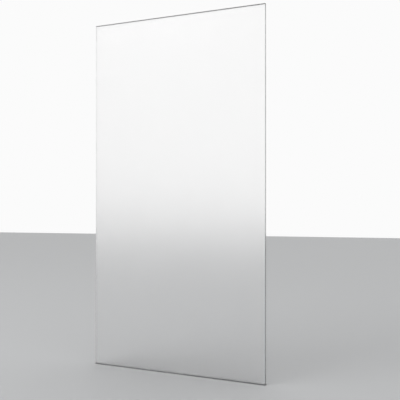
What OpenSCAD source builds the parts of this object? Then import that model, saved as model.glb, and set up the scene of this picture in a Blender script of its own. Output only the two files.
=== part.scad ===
// Frameless glass screen with its recessed base shoe
//
// A satin-etched laminated pane stands upright out of a finished floor. Below the floor it is
// clamped in an aluminium shoe: a cradle under and behind the glass, a pair of wedges in front
// of it at three places, and a gasket on each side at the mouth.
//
// Origin: the middle of the underside, which beds on the structural slab. X runs along the
// pane, Y through its thickness with the front towards -Y, Z is up. All sizes in millimetres.

/* [Pane] */
// Width of the pane
pane_w = 600; // [500:10:1200]
// Height of the pane above the finished floor
pane_h = 1160; // [600:10:1600]
// Thickness of each of the two glass lites
lite_t = 5; // [3:1:5]
// Thickness of the interlayer that bonds the lites
interlayer_t = 0.76; // [0.38:0.38:1.52]
// How far the arris is ground back from each outer edge of the glass
arris = 0.8; // [0.4:0.1:1.5]
// How far the interlayer is trimmed back from the glass edge
trim_back = 0.4; // [0.1:0.1:1]

/* [Floor] */
// Height of the floor finish above the top of the shoe
floor_build = 12; // [8:1:30]
// Width of the sealed joint between the glass and the floor finish
joint_w = 3; // [2:0.5:6]
// How far the joint is tooled below the floor surface
joint_recess = 0.5; // [0:0.1:1]

/* [Base shoe] */
// Inside width of the channel
channel_w = 22; // [20:1:26]
// Overall height of the shoe
shoe_h = 75; // [70:1:100]
// Thickness of the side walls
wall_t = 8; // [8:1:12]
// Thickness of the base
base_t = 10; // [9:1:14]
// Clearance between each end of the pane and the end cap
end_gap = 3; // [2:1:6]
// Thickness of the end caps
cap_t = 3; // [3:0.5:6]
// Thickness of the separation pad under the shoe
pad_t = 2; // [1:0.5:4]

/* [Anchors] */
// Distance between neighbouring anchor holes
anchor_pitch = 180; // [150:10:180]
// Diameter of the anchor holes
anchor_d = 9; // [7:0.5:9]
// Diameter of the counterbore for the anchor's washer
anchor_head_d = 18; // [14:1:18]
// Depth of that counterbore
anchor_head_h = 4; // [2:0.5:5]

/* [Glazing supports] */
// Length of each cradle and wedge
support_l = 70; // [50:5:70]
// Height of the cradle's foot, which the pane stands on
setting_h = 6; // [5:1:10]
// Height of the cradle's leg and of the wedges, from the bottom edge of the glass
support_h = 38; // [30:1:40]
// Distance that the drive wedges have been driven past the fixed ones
wedge_travel = 8; // [2:1:15]

/* [Hidden] */
$fn = 48;
eps = 0.1;

pane_t = 2 * lite_t + interlayer_t;
side_gap = (channel_w - pane_t) / 2;
shoe_w = channel_w + 2 * wall_t;
shoe_l = pane_w + 2 * end_gap;
channel_z = pad_t + base_t;
pane_z = channel_z + setting_h;
shoe_top = pad_t + shoe_h;
floor_z = shoe_top + floor_build;
pane_l = floor_z + pane_h - pane_z;

// Supports stand midway between the anchors
support_x = [-anchor_pitch, 0, anchor_pitch];
anchor_x = [-1.5, -0.5, 0.5, 1.5] * anchor_pitch;

// The cradle's foot reaches a little past the front of the glass
foot_overhang = 2;
lead_in = 1.5;
wedge_clear = 1;

// Both wedges share one taper, so that together they fill the gap in front of the glass
wedge_taper = 0.03;
wedge_thin = (side_gap - (support_l + wedge_travel) * wedge_taper) / 2;
wedge_thick = wedge_thin + support_l * wedge_taper;
notch_w = 4;
notch_h = 7;
notch_in = 9;

// Gasket and the undercut groove that holds it
gasket_drop = 7;
gasket_z = shoe_top - gasket_drop;
gasket_h = 10;
gasket_r = 2;
gasket_core_r = 1.5;
groove_neck = [2, 2.4];
groove_head = [1.6, 4.4];
groove_clear = 0.1;

// Screw ports run the full length of the shoe, two in the base and two in the walls
port_r = 1.75;
port_low = [channel_w / 2 + 2, pad_t + base_t / 2];
port_high = [channel_w / 2 + wall_t / 2, pad_t + 0.68 * shoe_h];
screw_l = 13;
screw_head_r = 3.6;
screw_head_h = 2;
screw_clear = 0.25;
socket_af = 2.5;
socket_depth = 1.2;
shoe_r = 1;

pad_hole_clear = 1.5;

// ---- shared shapes --------------------------------------------------------

// Extrudes a (Y, Z) outline along X, centred
module along_x(length) {
    rotate([90, 0, 90]) linear_extrude(height = length, center = true) children();
}

// Rectangle with round corners, centred, with true arcs
module rounded_rect(w, h, r) {
    square([w - 2 * r, h], center = true);
    square([w, h - 2 * r], center = true);
    for (x = [-1, 1], y = [-1, 1])
        translate([x * (w / 2 - r), y * (h / 2 - r)]) circle(r);
}

// The four screw port positions as (Y, Z) pairs
function port_places() = [
    for (side = [-1, 1], port = [port_low, port_high]) [side * port.x, port.y]
];

// ---- pane -----------------------------------------------------------------

// Outline of a lite seen along one edge: a slab whose outer corners are ground off.
// The bonded face lies at zero and the outer face at the lite's thickness.
module lite_outline(length) {
    polygon([
        [-length / 2, 0],
        [length / 2, 0],
        [length / 2, lite_t - arris],
        [length / 2 - arris, lite_t],
        [-length / 2 + arris, lite_t],
        [-length / 2, lite_t - arris]
    ]);
}

// One lite, standing on the cradles with its bonded face at the interlayer's back face
module lite() {
    translate([0, interlayer_t / 2, pane_z + pane_l / 2])
        intersection() {
            linear_extrude(height = pane_l, center = true) lite_outline(pane_w);
            rotate([0, -90, 0])
                linear_extrude(height = pane_w, center = true) lite_outline(pane_l);
        }
}

module glass_lite_back() {
    color("aliceblue", 0.6) lite();
}

module glass_lite_front() {
    color("aliceblue", 0.6) mirror([0, 1, 0]) lite();
}

module interlayer() {
    color("whitesmoke", 0.6)
        translate([0, 0, pane_z + pane_l / 2])
            cube([pane_w - 2 * trim_back, interlayer_t, pane_l - 2 * trim_back], center = true);
}

// Sealant that fills the joint between the glass and the floor finish, all the way round
module floor_joint_seal() {
    color("dimgray")
        translate([0, 0, shoe_top])
            linear_extrude(height = floor_build - joint_recess)
                difference() {
                    square([pane_w + 2 * joint_w, pane_t + 2 * joint_w], center = true);
                    square([pane_w, interlayer_t + 2 * eps], center = true);
                    for (side = [0, 1])
                        mirror([0, side]) translate([0, interlayer_t / 2]) lite_outline(pane_w);
                }
}

// ---- shoe -----------------------------------------------------------------

// Undercut groove in one wall of the channel, at the gasket's height
module gasket_groove(clear) {
    reach = groove_neck.x + groove_head.x;
    translate([channel_w / 2 - eps, gasket_z - groove_neck.y / 2 + clear])
        square([reach + eps - clear, groove_neck.y - 2 * clear]);
    translate([channel_w / 2 + groove_neck.x + clear, gasket_z - groove_head.y / 2 + clear])
        square([groove_head.x - 2 * clear, groove_head.y - 2 * clear]);
}

module shoe_outline() {
    difference() {
        translate([0, pad_t + shoe_h / 2]) rounded_rect(shoe_w, shoe_h, shoe_r);
        translate([-channel_w / 2, channel_z]) square([channel_w, shoe_h]);
        for (side = [0, 1]) mirror([side, 0]) gasket_groove(0);
        for (place = port_places()) translate(place) circle(port_r);
    }
}

module base_shoe() {
    color("silver")
        difference() {
            along_x(shoe_l) shoe_outline();
            for (x = anchor_x)
                translate([x, 0, pad_t]) {
                    translate([0, 0, -eps]) cylinder(h = base_t + 2 * eps, d = anchor_d);
                    translate([0, 0, base_t - anchor_head_h])
                        cylinder(h = anchor_head_h + eps, d = anchor_head_d);
                }
        }
}

// Keeps the bare aluminium off the damp slab
module separation_pad() {
    color("dimgray")
        difference() {
            translate([-shoe_l / 2, -shoe_w / 2, 0]) cube([shoe_l, shoe_w, pad_t]);
            for (x = anchor_x)
                translate([x, 0, -eps])
                    cylinder(h = pad_t + 2 * eps, d = anchor_d + 2 * pad_hole_clear);
        }
}

// Right-hand end cap, countersunk from outside for its four screws
module cap() {
    difference() {
        translate([shoe_l / 2 + cap_t / 2, 0, pad_t + shoe_h / 2])
            along_x(cap_t) rounded_rect(shoe_w, shoe_h, shoe_r);
        for (place = port_places())
            translate([shoe_l / 2, place.x, place.y]) rotate([0, 90, 0]) {
                translate([0, 0, -eps]) cylinder(h = cap_t + 2 * eps, r = port_r + screw_clear);
                translate([0, 0, cap_t - screw_head_h])
                    cylinder(h = screw_head_h, r1 = port_r + screw_clear, r2 = screw_head_r);
                translate([0, 0, cap_t - eps / 2]) cylinder(h = eps, r = screw_head_r);
            }
    }
}

module end_cap_right() {
    color("silver") cap();
}

module end_cap_left() {
    color("silver") mirror([1, 0, 0]) cap();
}

// Countersunk self-tapping screw with its head's top at zero and its point towards -Z
module cap_screw() {
    head_rim = 0.2;
    difference() {
        union() {
            translate([0, 0, -head_rim]) cylinder(h = head_rim, r = screw_head_r - screw_clear);
            translate([0, 0, -screw_head_h])
                cylinder(h = screw_head_h - head_rim, r1 = port_r, r2 = screw_head_r - screw_clear);
            translate([0, 0, -screw_l]) cylinder(h = screw_l - screw_head_h + eps / 2, r = port_r);
        }
        translate([0, 0, -socket_depth])
            cylinder(h = socket_depth + eps, d = socket_af / cos(30), $fn = 6);
    }
}

module end_cap_screws() {
    color("lightgray")
        for (end = [0, 1]) mirror([end, 0, 0])
            for (place = port_places())
                translate([shoe_l / 2 + cap_t, place.x, place.y]) rotate([0, 90, 0]) cap_screw();
}

// ---- glazing supports -----------------------------------------------------

// L-shaped block: the foot carries the pane and the leg keeps it off the back wall
module cradle(x) {
    color("darkslategray")
        translate([x, 0, 0])
            along_x(support_l)
                polygon([
                    [-pane_t / 2 - foot_overhang, channel_z],
                    [channel_w / 2, channel_z],
                    [channel_w / 2, pane_z + support_h],
                    [pane_t / 2 + lead_in, pane_z + support_h],
                    [pane_t / 2, pane_z + support_h - lead_in],
                    [pane_t / 2, pane_z],
                    [-pane_t / 2 - foot_overhang, pane_z]
                ]);
}

// Slots near both ends of a wedge's top edge, where the driving tool takes hold
module tool_notches() {
    for (end = [-1, 1])
        translate([end * (support_l / 2 - notch_in), 0, pane_z + support_h - notch_h / 2 + eps])
            cube([notch_w, channel_w, notch_h + 2 * eps], center = true);
}

// Wedge with its straight face at zero and its tapered face towards +Y, thick end at -X
module wedge() {
    difference() {
        translate([0, 0, pane_z + wedge_clear])
            linear_extrude(height = support_h - wedge_clear)
                polygon([
                    [-support_l / 2, 0],
                    [support_l / 2, 0],
                    [support_l / 2, wedge_thin],
                    [-support_l / 2, wedge_thick]
                ]);
        tool_notches();
    }
}

// Lies against the front wall
module fixed_wedge(x) {
    color("gainsboro") translate([x, -channel_w / 2, 0]) wedge();
}

// Lies against the glass, turned end for end and driven towards -X
module drive_wedge(x) {
    color("darkgray")
        translate([x - wedge_travel, -pane_t / 2, 0]) rotate([0, 0, 180]) wedge();
}

// Hollow bulb between glass and wall, with a barbed root in the wall's groove
module gasket() {
    along_x(shoe_l)
        difference() {
            union() {
                translate([(pane_t + channel_w) / 4, gasket_z])
                    rounded_rect(side_gap, gasket_h, gasket_r);
                gasket_groove(groove_clear);
            }
            translate([(pane_t + channel_w) / 4, gasket_z]) circle(gasket_core_r);
        }
}

module back_gasket() {
    color("black") gasket();
}

module front_gasket() {
    color("black") mirror([0, 1, 0]) gasket();
}

// ---- assembly -------------------------------------------------------------

glass_lite_front();
interlayer();
glass_lite_back();
floor_joint_seal();
base_shoe();
separation_pad();
end_cap_left();
end_cap_right();
end_cap_screws();
cradle(support_x[0]);  // cradle_left
cradle(support_x[1]);  // cradle_middle
cradle(support_x[2]);  // cradle_right
fixed_wedge(support_x[0]);  // fixed_wedge_left
fixed_wedge(support_x[1]);  // fixed_wedge_middle
fixed_wedge(support_x[2]);  // fixed_wedge_right
drive_wedge(support_x[0]);  // drive_wedge_left
drive_wedge(support_x[1]);  // drive_wedge_middle
drive_wedge(support_x[2]);  // drive_wedge_right
front_gasket();
back_gasket();
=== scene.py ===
"""Visual model of a frameless satin-etched glass screen that stands in a recessed base shoe."""

import logging
import math
from dataclasses import dataclass
from enum import Enum

import bmesh
import bpy
from mathutils import Matrix, Vector


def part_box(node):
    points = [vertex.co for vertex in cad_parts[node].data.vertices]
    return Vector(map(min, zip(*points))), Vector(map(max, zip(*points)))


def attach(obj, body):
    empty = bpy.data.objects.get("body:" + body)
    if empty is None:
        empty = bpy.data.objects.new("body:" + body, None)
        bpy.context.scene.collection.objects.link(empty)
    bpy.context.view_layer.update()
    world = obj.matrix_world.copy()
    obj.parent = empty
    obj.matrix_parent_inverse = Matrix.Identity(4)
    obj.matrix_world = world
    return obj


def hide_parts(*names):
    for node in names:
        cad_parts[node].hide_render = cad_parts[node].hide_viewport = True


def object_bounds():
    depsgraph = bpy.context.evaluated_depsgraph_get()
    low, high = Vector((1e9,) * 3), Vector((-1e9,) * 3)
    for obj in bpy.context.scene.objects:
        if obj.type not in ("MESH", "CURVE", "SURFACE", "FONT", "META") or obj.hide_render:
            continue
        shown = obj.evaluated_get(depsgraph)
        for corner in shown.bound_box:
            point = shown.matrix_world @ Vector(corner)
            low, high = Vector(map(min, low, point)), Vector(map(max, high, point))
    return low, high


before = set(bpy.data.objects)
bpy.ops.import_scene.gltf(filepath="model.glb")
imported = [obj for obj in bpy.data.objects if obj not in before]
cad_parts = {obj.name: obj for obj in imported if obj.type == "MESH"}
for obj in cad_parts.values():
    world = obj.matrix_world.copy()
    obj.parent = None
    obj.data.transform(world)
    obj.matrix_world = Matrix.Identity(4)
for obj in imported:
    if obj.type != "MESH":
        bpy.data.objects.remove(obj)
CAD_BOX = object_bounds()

LOG = logging.getLogger("glass_screen")
MM = 0.001
BODY = "root"

GLASS_IOR = 1.52
PVB_IOR = 1.48
# How many sizes of detail a fine noise pattern holds
OCTAVES = 3.0
# A Mix node's sockets for colours share their names with others, so they go by number
MIX_FACTOR, MIX_FIRST, MIX_SECOND, MIX_RESULT = 0, 6, 7, 2
# A face looks a given way when this share of its normal, or more, points that way
STRAIGHT_ON = 0.9

Colour = tuple[float, float, float, float]


def linear(hex_colour: str) -> Colour:
    """Turns an sRGB hex colour into linear light.

    Args:
        hex_colour: The colour, such as "#C0C4C4".

    Returns:
        Red, green and blue in linear light, and an alpha of 1.
    """
    channels = [int(hex_colour[i : i + 2], 16) / 255 for i in (1, 3, 5)]
    red, green, blue = [c / 12.92 if c <= 0.04045 else ((c + 0.055) / 1.055) ** 2.4 for c in channels]
    return red, green, blue, 1.0


def per_metre(size_mm: float) -> float:
    """Works out the scale of a pattern from the real size of one patch of it.

    Args:
        size_mm: The patch's size in millimetres.

    Returns:
        How many patches there are to a metre.
    """
    return 1 / (size_mm * MM)


def add(
    tree: bpy.types.NodeTree, kind: str, inputs: dict[str | int, object] | None = None, **settings: object
) -> bpy.types.Node:
    """Adds one node with its settings and links.

    Args:
        tree: The node tree to add to.
        kind: The node's type, such as "ShaderNodeBump".
        inputs: What each input takes, by name or number: a value, or an output to link from.
        settings: Properties to set on the node itself.

    Returns:
        The new node.
    """
    node = tree.nodes.new(kind)
    for name, value in settings.items():
        setattr(node, name, value)
    for key, value in (inputs or {}).items():
        if isinstance(value, bpy.types.NodeSocket):
            tree.links.new(value, node.inputs[key])
        else:
            node.inputs[key].default_value = value
    return node


# ---- finishes -------------------------------------------------------------


class Grain(Enum):
    """The way that a tool's fine lines run, as a stretch of the pattern along X, Y and Z."""

    ALONG = (0.01, 1.0, 1.0)
    UPRIGHT = (1.0, 1.0, 0.01)
    # Rings round an axis that lies along X
    TURNED = (1.0, 0.3, 0.3)


@dataclass(frozen=True, kw_only=True)
class Finish:
    """What a surface is made of and how it was worked. Each subclass draws its own surface.

    Attributes:
        name: The material's name.
        colour: Its colour, as sRGB hex.
        roughness: How rough it is at its smoothest.
        rise: How much rougher it gets where its pattern is strongest.
        relief_mm: How deep its relief is.
        relief_share: How much of that relief the light picks out, from 0 to 1.
    """

    name: str
    colour: str
    roughness: float
    rise: float = 0.2
    relief_mm: float = 0.03
    relief_share: float = 0.3

    def shader(self, tree: bpy.types.NodeTree) -> bpy.types.Node:
        """Adds the finish's patterns and its shader to a tree.

        Args:
            tree: The material's empty node tree.

        Returns:
            The shader node.
        """
        raise NotImplementedError

    def surface(
        self,
        tree: bpy.types.NodeTree,
        rough: bpy.types.NodeSocket,
        height: bpy.types.NodeSocket,
        looks: dict[str | int, object],
    ) -> bpy.types.Node:
        """Adds the shader of a surface whose roughness and relief follow patterns.

        Args:
            tree: The material's node tree.
            rough: The pattern that the roughness follows.
            height: The pattern that the relief follows.
            looks: What the shader's other inputs take.

        Returns:
            The shader node.
        """
        roughness = add(
            tree,
            "ShaderNodeMapRange",
            {"Value": rough, "To Min": self.roughness, "To Max": self.roughness + self.rise},
        )
        relief = add(
            tree,
            "ShaderNodeBump",
            {"Height": height, "Strength": self.relief_share, "Distance": self.relief_mm * MM},
        )
        worked = {"Roughness": roughness.outputs[0], "Normal": relief.outputs[0]}
        return add(tree, "ShaderNodeBsdfPrincipled", looks | worked)

    def material(self) -> bpy.types.Material:
        """Makes the material the first time, and gives the same one from then on.

        Returns:
            The finish's material.
        """
        made = bpy.data.materials.get(self.name)
        if made is None:
            made = bpy.data.materials.new(self.name)
            made.use_nodes = True
            made.node_tree.nodes.clear()
            shader = self.shader(made.node_tree)
            add(made.node_tree, "ShaderNodeOutputMaterial", {"Surface": shader.outputs[0]})
        return made

    def dress(self, *nodes: str) -> None:
        """Gives this finish to CAD nodes that keep their shape.

        Args:
            nodes: The nodes' names.
        """
        for node in nodes:
            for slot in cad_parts[node].material_slots:
                slot.material = self.material()
            LOG.info("%s keeps its shape, finished in %s", node, self.name)


@dataclass(frozen=True, kw_only=True)
class EtchedGlass(Finish):
    """Low-iron float glass with an acid-etched face.

    Attributes:
        cloud_mm: The size of the faint clouds that the acid bath leaves.
        tooth_mm: The size of the etch's crystals.
    """

    rise: float = 0.06
    relief_mm: float = 0.02
    relief_share: float = 0.1
    cloud_mm: float = 60.0
    # The crystals of the etch are 0.1 mm across; they are drawn coarser, so that they show
    tooth_mm: float = 1.5

    def shader(self, tree: bpy.types.NodeTree) -> bpy.types.Node:
        """Adds the clouds, the tooth of the etch and the glass.

        Args:
            tree: The material's empty node tree.

        Returns:
            The shader node.
        """
        place = add(tree, "ShaderNodeTexCoord").outputs["Object"]
        clouds = add(
            tree,
            "ShaderNodeTexNoise",
            {"Vector": place, "Scale": per_metre(self.cloud_mm), "Detail": OCTAVES},
        )
        tooth = add(tree, "ShaderNodeTexNoise", {"Vector": place, "Scale": per_metre(self.tooth_mm)})
        looks = {"Base Color": linear(self.colour), "IOR": GLASS_IOR, "Transmission Weight": 1.0}
        return self.surface(tree, clouds.outputs["Fac"], tooth.outputs["Fac"], looks)


@dataclass(frozen=True, kw_only=True)
class PolishedEdge(Finish):
    """The edge of the glass, ground flat with a diamond wheel and polished.

    Attributes:
        grain: The way the wheel ran.
        clear: How much light goes in and out through it, from 0 to 1.
        gloss: How strongly it mirrors. 0.5 is what clean glass does.
        wheel_mm: How far apart the wheel's lines are.
    """

    rise: float = 0.05
    relief_mm: float = 0.01
    relief_share: float = 0.1
    grain: Grain
    clear: float = 1.0
    gloss: float = 0.5
    # Real lines are under 0.1 mm apart; they are drawn coarser, so that they show
    wheel_mm: float = 0.8

    def shader(self, tree: bpy.types.NodeTree) -> bpy.types.Node:
        """Adds the wheel's lines and the tinted glass.

        Args:
            tree: The material's empty node tree.

        Returns:
            The shader node.
        """
        place = add(tree, "ShaderNodeTexCoord").outputs["Object"]
        ground = add(tree, "ShaderNodeMapping", {"Vector": place, "Scale": self.grain.value})
        lines = add(
            tree,
            "ShaderNodeTexNoise",
            {"Vector": ground.outputs[0], "Scale": per_metre(self.wheel_mm)},
        )
        looks = {
            "Base Color": linear(self.colour),
            "IOR": GLASS_IOR,
            "Specular IOR Level": self.gloss,
            "Transmission Weight": self.clear,
        }
        return self.surface(tree, lines.outputs["Fac"], lines.outputs["Fac"], looks)


@dataclass(frozen=True, kw_only=True)
class BondedFace(Finish):
    """A face bonded to its neighbour with no air between them.

    Attributes:
        haze: How much of it shows, from 0 to 1.
    """

    haze: float = 0.0

    def shader(self, tree: bpy.types.NodeTree) -> bpy.types.Node:
        """Adds a surface that is only as visible as its haze.

        Args:
            tree: The material's empty node tree.

        Returns:
            The shader node.
        """
        return add(
            tree,
            "ShaderNodeBsdfPrincipled",
            {
                "Base Color": linear(self.colour),
                "Roughness": self.roughness,
                "Alpha": self.haze,
                "Specular IOR Level": 0.0,
            },
        )


@dataclass(frozen=True, kw_only=True)
class CutInterlayer(Finish):
    """PVB film where a knife has trimmed it.

    Attributes:
        wave_mm: The size of the knife's waves.
        clear: How much light goes in and out through it, from 0 to 1.
    """

    relief_mm: float = 0.05
    wave_mm: float = 3.0
    clear: float = 0.9

    def shader(self, tree: bpy.types.NodeTree) -> bpy.types.Node:
        """Adds the knife's waves and the cloudy plastic.

        Args:
            tree: The material's empty node tree.

        Returns:
            The shader node.
        """
        place = add(tree, "ShaderNodeTexCoord").outputs["Object"]
        waves = add(tree, "ShaderNodeTexNoise", {"Vector": place, "Scale": per_metre(self.wave_mm)})
        looks = {"Base Color": linear(self.colour), "IOR": PVB_IOR, "Transmission Weight": self.clear}
        return self.surface(tree, waves.outputs["Fac"], waves.outputs["Fac"], looks)


@dataclass(frozen=True, kw_only=True)
class TooledSealant(Finish):
    """Silicone that was tooled while wet, with a little dust settled on it.

    Attributes:
        ripple_mm: The size of the ripples that the tool left.
        dust_mm: The size of a patch of dust.
        dust_colour: The dust's colour, as sRGB hex.
        dust_starts: The value of the pattern at which dust starts to show.
        dust_thickest: The value at which it is thickest.
        dust_cover: How much of the silicone it hides there, from 0 to 1.
    """

    rise: float = 0.4
    relief_mm: float = 0.2
    relief_share: float = 0.4
    ripple_mm: float = 9.0
    dust_mm: float = 2.0
    dust_colour: str
    dust_starts: float = 0.5
    dust_thickest: float = 0.8
    dust_cover: float = 0.6

    def shader(self, tree: bpy.types.NodeTree) -> bpy.types.Node:
        """Adds the ripples, the dust and the rubber.

        Args:
            tree: The material's empty node tree.

        Returns:
            The shader node.
        """
        place = add(tree, "ShaderNodeTexCoord").outputs["Object"]
        ripples = add(tree, "ShaderNodeTexNoise", {"Vector": place, "Scale": per_metre(self.ripple_mm)})
        dust = add(
            tree,
            "ShaderNodeTexNoise",
            {"Vector": place, "Scale": per_metre(self.dust_mm), "Detail": OCTAVES},
        )
        settled = add(
            tree,
            "ShaderNodeMapRange",
            {
                "Value": dust.outputs["Fac"],
                "From Min": self.dust_starts,
                "From Max": self.dust_thickest,
                "To Max": self.dust_cover,
            },
        )
        tone = add(
            tree,
            "ShaderNodeMix",
            {
                MIX_FACTOR: settled.outputs[0],
                MIX_FIRST: linear(self.colour),
                MIX_SECOND: linear(self.dust_colour),
            },
            data_type="RGBA",
        )
        looks = {"Base Color": tone.outputs[MIX_RESULT]}
        return self.surface(tree, settled.outputs[0], ripples.outputs["Fac"], looks)


@dataclass(frozen=True, kw_only=True)
class SatinMetal(Finish):
    """Metal with a tool's fine lines and a mottled tone.

    Attributes:
        mottle_colour: The tone of its other patches, as sRGB hex.
        grain: The way the tool's lines run.
        line_mm: How far apart those lines are.
        mottle_mm: The size of the patches.
    """

    mottle_colour: str
    grain: Grain
    # Real lines are under 0.1 mm apart; they are drawn coarser, so that they show
    line_mm: float = 0.6
    mottle_mm: float = 20.0

    def shader(self, tree: bpy.types.NodeTree) -> bpy.types.Node:
        """Adds the grain, the mottle and the metal.

        Args:
            tree: The material's empty node tree.

        Returns:
            The shader node.
        """
        place = add(tree, "ShaderNodeTexCoord").outputs["Object"]
        drawn = add(tree, "ShaderNodeMapping", {"Vector": place, "Scale": self.grain.value})
        lines = add(
            tree,
            "ShaderNodeTexNoise",
            {"Vector": drawn.outputs[0], "Scale": per_metre(self.line_mm), "Detail": OCTAVES},
        )
        mottle = add(
            tree,
            "ShaderNodeTexNoise",
            {"Vector": place, "Scale": per_metre(self.mottle_mm), "Detail": OCTAVES},
        )
        tone = add(
            tree,
            "ShaderNodeMix",
            {
                MIX_FACTOR: mottle.outputs["Fac"],
                MIX_FIRST: linear(self.colour),
                MIX_SECOND: linear(self.mottle_colour),
            },
            data_type="RGBA",
        )
        looks = {"Base Color": tone.outputs[MIX_RESULT], "Metallic": 1.0}
        return self.surface(tree, lines.outputs["Fac"], lines.outputs["Fac"], looks)


@dataclass(frozen=True, kw_only=True)
class MouldedPlastic(Finish):
    """Injection-moulded plastic with a spark-eroded texture and swirling flow marks.

    Attributes:
        flow_colour: The flow marks' colour, as sRGB hex.
        texture_mm: The size of a pit in the texture.
        flow_mm: The size of a flow mark.
        swirl: How much the flow marks wind.
    """

    rise: float = 0.15
    relief_mm: float = 0.06
    flow_colour: str
    texture_mm: float = 0.7
    flow_mm: float = 14.0
    swirl: float = 1.5

    def shader(self, tree: bpy.types.NodeTree) -> bpy.types.Node:
        """Adds the mould's texture, the flow marks and the plastic.

        Args:
            tree: The material's empty node tree.

        Returns:
            The shader node.
        """
        place = add(tree, "ShaderNodeTexCoord").outputs["Object"]
        texture = add(
            tree, "ShaderNodeTexVoronoi", {"Vector": place, "Scale": per_metre(self.texture_mm)}
        )
        flow = add(
            tree,
            "ShaderNodeTexNoise",
            {"Vector": place, "Scale": per_metre(self.flow_mm), "Distortion": self.swirl},
        )
        tone = add(
            tree,
            "ShaderNodeMix",
            {
                MIX_FACTOR: flow.outputs["Fac"],
                MIX_FIRST: linear(self.colour),
                MIX_SECOND: linear(self.flow_colour),
            },
            data_type="RGBA",
        )
        looks = {"Base Color": tone.outputs[MIX_RESULT]}
        return self.surface(tree, flow.outputs["Fac"], texture.outputs["Distance"], looks)


@dataclass(frozen=True, kw_only=True)
class ExtrudedRubber(Finish):
    """Rubber with drag lines from the die and a pale bloom in patches.

    Attributes:
        drag_mm: How far apart the drag lines are.
        bloom_mm: The size of a patch of bloom.
        bloom_colour: The bloom's colour, as sRGB hex.
        bloom_starts: The value of the pattern at which bloom starts to show.
        bloom_full: The value at which it covers the rubber.
    """

    relief_mm: float = 0.08
    relief_share: float = 0.4
    drag_mm: float = 1.0
    bloom_mm: float = 8.0
    bloom_colour: str
    bloom_starts: float = 0.45
    bloom_full: float = 0.75

    def shader(self, tree: bpy.types.NodeTree) -> bpy.types.Node:
        """Adds the drag lines, the bloom and the rubber.

        Args:
            tree: The material's empty node tree.

        Returns:
            The shader node.
        """
        place = add(tree, "ShaderNodeTexCoord").outputs["Object"]
        drawn = add(tree, "ShaderNodeMapping", {"Vector": place, "Scale": Grain.ALONG.value})
        drag = add(
            tree,
            "ShaderNodeTexNoise",
            {"Vector": drawn.outputs[0], "Scale": per_metre(self.drag_mm), "Detail": OCTAVES},
        )
        bloom = add(
            tree,
            "ShaderNodeTexNoise",
            {"Vector": place, "Scale": per_metre(self.bloom_mm), "Detail": OCTAVES},
        )
        bloomed = add(
            tree,
            "ShaderNodeMapRange",
            {
                "Value": bloom.outputs["Fac"],
                "From Min": self.bloom_starts,
                "From Max": self.bloom_full,
            },
        )
        tone = add(
            tree,
            "ShaderNodeMix",
            {
                MIX_FACTOR: bloomed.outputs[0],
                MIX_FIRST: linear(self.colour),
                MIX_SECOND: linear(self.bloom_colour),
            },
            data_type="RGBA",
        )
        looks = {"Base Color": tone.outputs[MIX_RESULT]}
        return self.surface(tree, drag.outputs["Fac"], drag.outputs["Fac"], looks)


@dataclass(frozen=True, kw_only=True)
class PlainFloor(Finish):
    """A dull floor with no pattern.

    Attributes:
        gloss: How strongly it mirrors. 0.5 is what a clean varnish does.
    """

    gloss: float = 0.1

    def shader(self, tree: bpy.types.NodeTree) -> bpy.types.Node:
        """Adds the plain surface.

        Args:
            tree: The material's empty node tree.

        Returns:
            The shader node.
        """
        return add(
            tree,
            "ShaderNodeBsdfPrincipled",
            {
                "Base Color": linear(self.colour),
                "Roughness": self.roughness,
                "Specular IOR Level": self.gloss,
            },
        )


# Satin: the etch scatters light evenly, so what is near shows soft and what is far melts away
ETCHED_GLASS = EtchedGlass(name="acid_etched_glass", colour="#FFFFFF", roughness=0.29)

# A thin clear glint round the outer faces, where the wheel took the sharp corner off
ARRIS = PolishedEdge(
    name="polished_glass_arris", colour="#F4F6F5", roughness=0.05, grain=Grain.UPRIGHT
)

# Deep grey and glossy: painted shade, the darkness of light that has run through the pane's whole width
# before it leaves by the edge
SIDE_EDGE_PAINTED_SHADE = PolishedEdge(
    name="polished_glass_side_edge_painted_shade", colour="#363938", roughness=0.05, grain=Grain.UPRIGHT
)

# Nearly black and opaque: painted shade, because the pane's whole height lies below the top edge and
# hardly any light comes back up
TOP_EDGE_PAINTED_SHADE = PolishedEdge(
    name="polished_glass_top_edge_painted_shade",
    colour="#0C0E0E",
    roughness=0.05,
    grain=Grain.ALONG,
    clear=0.0,
    gloss=0.1,
)

# Nothing shows where the glass meets the interlayer
BONDED_FACE = BondedFace(name="bonded_glass_face", colour="#FFFFFF", roughness=0.5)

# The faintest haze inside the pane
INTERLAYER_FACE = BondedFace(name="pvb_interlayer", colour="#F4F6F6", roughness=0.5, haze=0.004)

# A pale cloudy line between the lites, with a soft sheen
INTERLAYER_EDGE = CutInterlayer(name="trimmed_pvb_edge", colour="#E6EAE8", roughness=0.4)

# A grey bead with slow ripples and a soft sheen, duller where dust lies
SEALANT = TooledSealant(
    name="tooled_silicone", colour="#8A8B8C", roughness=0.45, dust_colour="#9EA09F"
)

# Pale grey with long soft lines that spread the light across the profile
EXTRUSION = SatinMetal(
    name="anodised_extrusion",
    colour="#C3C5C6",
    roughness=0.3,
    mottle_colour="#BABCBD",
    grain=Grain.ALONG,
)

# The same pale grey, a little duller, with upright lines
CAP_PLATE = SatinMetal(
    name="anodised_plate",
    colour="#BFC1C2",
    roughness=0.34,
    mottle_colour="#B6B8B9",
    grain=Grain.UPRIGHT,
)

# Warmer and shinier than the aluminium, with fine rings round each head
STAINLESS = SatinMetal(
    name="turned_stainless",
    colour="#B9B7B2",
    roughness=0.22,
    mottle_colour="#A3A19D",
    grain=Grain.TURNED,
    line_mm=0.3,
)

# Near black and matt, with flow marks that only show where light grazes it
CRADLE_PVC = MouldedPlastic(
    name="black_moulded_pvc", colour="#1D1E1F", roughness=0.45, flow_colour="#28292A"
)

# Milky grey, waxier and a little shinier than the PVC
WEDGE_ACETAL = MouldedPlastic(
    name="grey_moulded_acetal", colour="#BDBDB9", roughness=0.32, flow_colour="#ADADA8"
)

# Dead matt black with lines along it and a chalky bloom
EPDM = ExtrudedRubber(name="black_epdm", colour="#18191A", roughness=0.7, bloom_colour="#3A3A3B")

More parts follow.
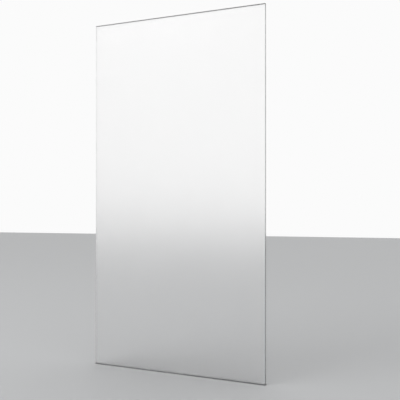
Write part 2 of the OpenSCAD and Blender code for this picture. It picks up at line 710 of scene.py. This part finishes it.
# A pale grey that takes a soft shadow and mirrors next to nothing
FLOOR = PlainFloor(name="pale_floor", colour="#B2B3B4", roughness=0.6)


# ---- meshes ---------------------------------------------------------------


def box_mesh(low: Vector, high: Vector) -> bmesh.types.BMesh:
    """Makes a closed box between two corners.

    Args:
        low: The box's lowest corner.
        high: Its highest corner.

    Returns:
        The box as a bmesh.
    """
    bm = bmesh.new()
    bmesh.ops.create_cube(bm, size=1.0)
    bmesh.ops.scale(bm, vec=high - low, verts=bm.verts)
    bmesh.ops.translate(bm, vec=(low + high) / 2, verts=bm.verts)
    bm.normal_update()
    return bm


def made_object(bm: bmesh.types.BMesh, name: str, *finishes: Finish) -> bpy.types.Object:
    """Turns a bmesh into an object at the origin.

    Args:
        bm: The mesh, which is freed.
        name: The object's name.
        finishes: The finishes that the faces' material numbers stand for.

    Returns:
        The object.
    """
    mesh = bpy.data.meshes.new(name)
    bm.to_mesh(mesh)
    bm.free()
    for finish in finishes:
        mesh.materials.append(finish.material())
    thing = bpy.data.objects.new(name, mesh)
    bpy.context.scene.collection.objects.link(thing)
    return thing


def stand_in_for(thing: bpy.types.Object, node: str) -> None:
    """Puts a finished piece in a CAD node's stead.

    Args:
        thing: The piece.
        node: The CAD node that it replaces.
    """
    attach(thing, BODY)
    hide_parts(node)
    LOG.info("%s stands for %s, %d faces", thing.name, node, len(thing.data.polygons))


# ---- sub-assemblies -------------------------------------------------------


class GlassFace(Enum):
    """The kinds of face on a lite, by material number."""

    ETCHED = 0
    ARRIS = 1
    # The side and top edges take finishes with painted shade in their colour
    SIDE_EDGE_PAINTED_SHADE = 2
    TOP_EDGE_PAINTED_SHADE = 3
    BONDED = 4


@dataclass
class LaminatedPane:
    """The pane: two lites, etched on their outer faces, bonded by an interlayer.

    Attributes:
        front_node: The front lite's CAD node.
        back_node: The back lite's CAD node.
        interlayer_node: The interlayer's CAD node.
        arris: How far the arris is ground back from each outer edge.
        arris_flats: How many flats it is ground with.
    """

    front_node: str = "glass_lite_front"
    back_node: str = "glass_lite_back"
    interlayer_node: str = "interlayer"
    arris: float = 0.8 * MM
    arris_flats: int = 1

    def box(self) -> tuple[Vector, Vector]:
        """Gives the whole pane's lowest and highest corners."""
        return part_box(self.front_node)[0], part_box(self.back_node)[1]

    def build(self) -> None:
        """Makes the lites and the interlayer."""
        self.lite(self.front_node, "front_lite", Vector((0, -1, 0)))
        self.lite(self.back_node, "back_lite", Vector((0, 1, 0)))
        self.interlayer()

    def lite(self, node: str, name: str, outward: Vector) -> None:
        """Makes one lite, with a polished arris round its outer face.

        Args:
            node: The CAD node that it stands for.
            name: The piece's name.
            outward: The way its etched face looks.
        """
        bm = box_mesh(*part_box(node))
        outer = max(bm.faces, key=lambda face: face.normal.dot(outward))
        bmesh.ops.bevel(
            bm,
            geom=list(outer.edges),
            offset=self.arris,
            offset_type="OFFSET",
            segments=self.arris_flats,
            profile=0.5,
            affect="EDGES",
            material=-1,
        )
        bm.normal_update()
        for face in bm.faces:
            face.material_index = self.kind_of(face, outward).value
        stand_in_for(made_object(bm, name, ETCHED_GLASS, ARRIS, SIDE_EDGE_PAINTED_SHADE, TOP_EDGE_PAINTED_SHADE, BONDED_FACE), node)

    @staticmethod
    def kind_of(face: bmesh.types.BMFace, outward: Vector) -> GlassFace:
        """Tells a lite's face by the way it looks.

        Args:
            face: The face.
            outward: The way the lite's etched face looks.

        Returns:
            The kind of face.
        """
        facing = face.normal.dot(outward)
        if abs(facing) > STRAIGHT_ON:
            return GlassFace.ETCHED if facing > 0 else GlassFace.BONDED
        if face.normal.z > abs(face.normal.x):
            return GlassFace.TOP_EDGE_PAINTED_SHADE
        return GlassFace.ARRIS if facing > 1 - STRAIGHT_ON else GlassFace.SIDE_EDGE_PAINTED_SHADE

    def interlayer(self) -> None:
        """Makes the interlayer, whose trimmed edge shows as a line between the lites."""
        bm = box_mesh(*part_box(self.interlayer_node))
        for face in bm.faces:
            face.material_index = 0 if abs(face.normal.y) > STRAIGHT_ON else 1
        piece = made_object(bm, "pvb_interlayer", INTERLAYER_FACE, INTERLAYER_EDGE)
        stand_in_for(piece, self.interlayer_node)


@dataclass
class FloorJoint:
    """The sealant round the foot of the pane.

    Attributes:
        pane: The pane that it runs round.
        node: The CAD node that it stands for.
        recess: How far the sealant's rim lies below the floor.
        sag: How much deeper its tooled middle is.
        sag_steps: How many strips the hollow is made of.
        film: What keeps the sealant's wall and the glass out of one plane.
    """

    pane: LaminatedPane
    node: str = "floor_joint_seal"
    recess: float = 0.5 * MM
    sag: float = 0.6 * MM
    sag_steps: int = 6
    film: float = 0.02 * MM

    def floor_z(self) -> float:
        """Gives the height of the finished floor."""
        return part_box(self.node)[1].z + self.recess

    def width(self) -> float:
        """Gives the joint's width, from the glass to the floor."""
        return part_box(self.node)[1].x - self.pane.box()[1].x

    def ring(self, bm: bmesh.types.BMesh, out: float, z: float) -> list[bmesh.types.BMEdge]:
        """Adds a closed ring that runs round the pane, with its corners cut like the arris.

        Args:
            bm: The mesh to add to.
            out: How far it lies outside the glass.
            z: Its height.

        Returns:
            The ring's edges.
        """
        corner = self.pane.box()[1] + Vector((out, out, 0))
        cut = self.pane.arris
        quarter = [(corner.x, corner.y - cut), (corner.x - cut, corner.y)]
        verts = [
            bm.verts.new((side_x * x, side_y * y, z))
            for side_x, side_y in ((1, 1), (-1, 1), (-1, -1), (1, -1))
            for x, y in quarter[:: side_x * side_y]
        ]
        return [bm.edges.new((verts[i - 1], verts[i])) for i in range(len(verts))]

    def build(self) -> None:
        """Makes the bead as a closed ring of one profile, hollow at the top and square below."""
        low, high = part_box(self.node)
        width = self.width()
        shares = [step / self.sag_steps for step in range(self.sag_steps + 1)]
        profile = [
            (self.film + share * (width - self.film), high.z - self.sag * math.sin(math.pi * share))
            for share in shares
        ]
        profile += [(width, low.z), (self.film, low.z)]
        bm = bmesh.new()
        rings = [self.ring(bm, out, z) for out, z in profile]
        for near, far in zip(rings, rings[1:] + rings[:1]):
            bmesh.ops.bridge_loops(bm, edges=near + far)
        bmesh.ops.recalc_face_normals(bm, faces=bm.faces)
        stand_in_for(made_object(bm, "sealant_bead", SEALANT), self.node)


@dataclass
class BaseShoe:
    """The channel under the floor, with its caps, screws and pad. The CAD shapes stay.

    Attributes:
        ends: The ends of the channel that have a cap.
    """

    ends: tuple[str, ...] = ("left", "right")

    def build(self) -> None:
        """Dresses the shoe's nodes."""
        EXTRUSION.dress("base_shoe")
        CAP_PLATE.dress(*[f"end_cap_{end}" for end in self.ends])
        STAINLESS.dress("end_cap_screws")
        EPDM.dress("separation_pad")


@dataclass
class GlazingSupports:
    """What clamps the pane in the shoe. The CAD shapes stay.

    Attributes:
        places: The places along the shoe where the pane is clamped.
    """

    places: tuple[str, ...] = ("left", "middle", "right")

    def build(self) -> None:
        """Dresses the cradles, wedges and gaskets."""
        CRADLE_PVC.dress(*[f"cradle_{place}" for place in self.places])
        WEDGE_ACETAL.dress(*[f"fixed_wedge_{place}" for place in self.places])
        WEDGE_ACETAL.dress(*[f"drive_wedge_{place}" for place in self.places])
        EPDM.dress("front_gasket", "back_gasket")


# ---- studio ---------------------------------------------------------------


@dataclass
class Studio:
    """The floor with the recess that the shoe is set in, the light and the camera.

    Attributes:
        joint: The joint between the pane and the floor.
        floor_side: The side of the square floor.
        floor_far: How far off its far side is, where the white surround starts.
        floor_turn: How far the floor is turned, in degrees.
        recess_width: The width of the recess under the floor.
        recess_spare: How much longer it is than the shoe, and how much deeper.
        backdrop: The surround's colour, as sRGB hex.
        lamp_size: The soft lamp's width and height.
        lamp_watts: Its power.
        lamp_place: Where it hangs.
        lamp_aim: What it points at.
        camera_right: How far the camera is to the right of the pane's middle, in pane heights.
        camera_front: How far it is in front of the pane's front face, in pane heights.
        camera_height: How high it is above the floor, in pane heights.
        camera_turn: How far it is turned to the left of square-on, in degrees.
        lens_mm: Its focal length.
        sensor_mm: The width of its sensor.
        bounces: How often light is followed through the glass and off it.
        bonded_crossings: How often it may cross the bonded faces inside the pane.
    """

    joint: FloorJoint
    floor_side: float = 60.0
    floor_far: float = 6.9
    floor_turn: float = 9.0
    recess_width: float = 60 * MM
    recess_spare: tuple[float, float] = (12 * MM, 2 * MM)
    backdrop: str = "#FBFBFB"
    lamp_size: tuple[float, float] = (2.4, 1.6)
    lamp_watts: float = 40.0
    lamp_place: tuple[float, float, float] = (-1.9, -2.2, 3.2)
    lamp_aim: tuple[float, float, float] = (0.0, 0.0, 0.4)
    camera_right: float = 0.6475
    camera_front: float = 1.4101
    camera_height: float = 0.4847
    camera_turn: float = 22.1
    lens_mm: float = 50.0
    sensor_mm: float = 36.0
    bounces: int = 24
    bonded_crossings: int = 64

    def build(self) -> None:
        """Makes the whole studio."""
        self.floor()
        self.surround()
        self.lamp()
        self.camera()
        self.picture()

    def floor(self) -> None:
        """Makes a square floor with a slot for the pane, over a closed recess for the shoe."""
        low, high = CAD_BOX
        floor_z = self.joint.floor_z()
        shoe_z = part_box("base_shoe")[1].z
        same_size = Vector((1, 1, 1))
        bm = bmesh.new()
        square = bmesh.ops.create_grid(bm, x_segments=1, y_segments=1, size=self.floor_side / 2)
        corners = square["verts"]
        middle = Vector((0, self.floor_far - self.floor_side / 2, floor_z))
        bmesh.ops.translate(bm, vec=middle, verts=corners)
        turn = Matrix.Rotation(math.radians(self.floor_turn), 3, "Z")
        bmesh.ops.rotate(bm, cent=Vector(), matrix=turn, verts=corners)
        bmesh.ops.delete(bm, geom=list(bm.faces), context="FACES_ONLY")
        outer = list(bm.edges)
        slot = self.joint.ring(bm, self.joint.width(), floor_z)
        bmesh.ops.triangle_fill(bm, edges=outer + slot, use_beauty=True)
        longer, deeper = self.recess_spare
        slot_corner = self.joint.pane.box()[1] + Vector((1, 1, 0)) * self.joint.width()
        recess_corner = Vector((high.x + longer / 2, self.recess_width / 2, 0))
        widen = Vector((recess_corner.x / slot_corner.x, recess_corner.y / slot_corner.y, 1))
        walls = self.carried_on(bm, slot, same_size, shoe_z - floor_z)
        walls = self.carried_on(bm, walls, widen, 0.0)
        walls = self.carried_on(bm, walls, same_size, low.z - deeper - shoe_z)
        bmesh.ops.edgeloop_fill(bm, edges=walls)
        floor = made_object(bm, "studio_floor", FLOOR)

    @staticmethod
    def carried_on(
        bm: bmesh.types.BMesh, edges: list[bmesh.types.BMEdge], widen: Vector, rise: float
    ) -> list[bmesh.types.BMEdge]:
        """Carries a ring of edges on, outwards, up or down, with faces in between.

        Args:
            bm: The mesh they are in.
            edges: The ring.
            widen: How many times wider the new ring is, along each axis.
            rise: How far it moves up.

        Returns:
            The new ring's edges.
        """
        made = bmesh.ops.extrude_edge_only(bm, edges=edges)["geom"]
        verts = [item for item in made if isinstance(item, bmesh.types.BMVert)]
        bmesh.ops.scale(bm, vec=widen, verts=verts)
        bmesh.ops.translate(bm, vec=Vector((0, 0, rise)), verts=verts)
        return [item for item in made if isinstance(item, bmesh.types.BMEdge)]

    def surround(self) -> None:
        """Makes the plain white surround, which is also most of the light."""
        world = bpy.data.worlds.new("surround")
        world.use_nodes = True
        world.node_tree.nodes.clear()
        white = add(world.node_tree, "ShaderNodeBackground", {"Color": linear(self.backdrop)})
        add(world.node_tree, "ShaderNodeOutputWorld", {"Surface": white.outputs[0]})
        bpy.context.scene.world = world

    def lamp(self) -> None:
        """Makes one large soft lamp, above and to the left of the pane's front."""
        light = bpy.data.lights.new("softbox", "AREA")
        light.shape = "RECTANGLE"
        light.size, light.size_y = self.lamp_size
        light.energy = self.lamp_watts
        aim = Vector(self.lamp_aim) - Vector(self.lamp_place)
        softbox = bpy.data.objects.new("softbox", light)
        softbox.location = self.lamp_place
        softbox.rotation_euler = aim.to_track_quat("-Z", "Y").to_euler()
        bpy.context.scene.collection.objects.link(softbox)

    def camera(self) -> None:
        """Makes the camera: level, standing to the right of the pane's front."""
        low, high = self.joint.pane.box()
        floor_z = self.joint.floor_z()
        pane_height = high.z - floor_z
        lens = bpy.data.cameras.new("camera")
        lens.lens = self.lens_mm
        lens.sensor_width = self.sensor_mm
        camera = bpy.data.objects.new("camera", lens)
        camera.location = (
            self.camera_right * pane_height,
            low.y - self.camera_front * pane_height,
            floor_z + self.camera_height * pane_height,
        )
        camera.rotation_euler = (math.pi / 2, 0.0, math.radians(self.camera_turn))
        bpy.context.scene.collection.objects.link(camera)
        bpy.context.scene.camera = camera

    def picture(self) -> None:
        """Sets plain tones, and enough bounces for light that runs along inside the pane."""
        scene = bpy.context.scene
        scene.view_settings.view_transform = "Standard"
        scene.cycles.transparent_max_bounces = self.bonded_crossings
        scene.cycles.max_bounces = self.bounces
        scene.cycles.transmission_bounces = self.bounces
        scene.cycles.glossy_bounces = self.bounces


def main() -> None:
    """Builds the screen and the studio round it."""
    logging.basicConfig(level=logging.INFO, format="%(name)s: %(message)s")
    pane = LaminatedPane()
    joint = FloorJoint(pane)
    for assembly in (pane, joint, BaseShoe(), GlazingSupports(), Studio(joint)):
        assembly.build()


if __name__ == "__main__":
    main()
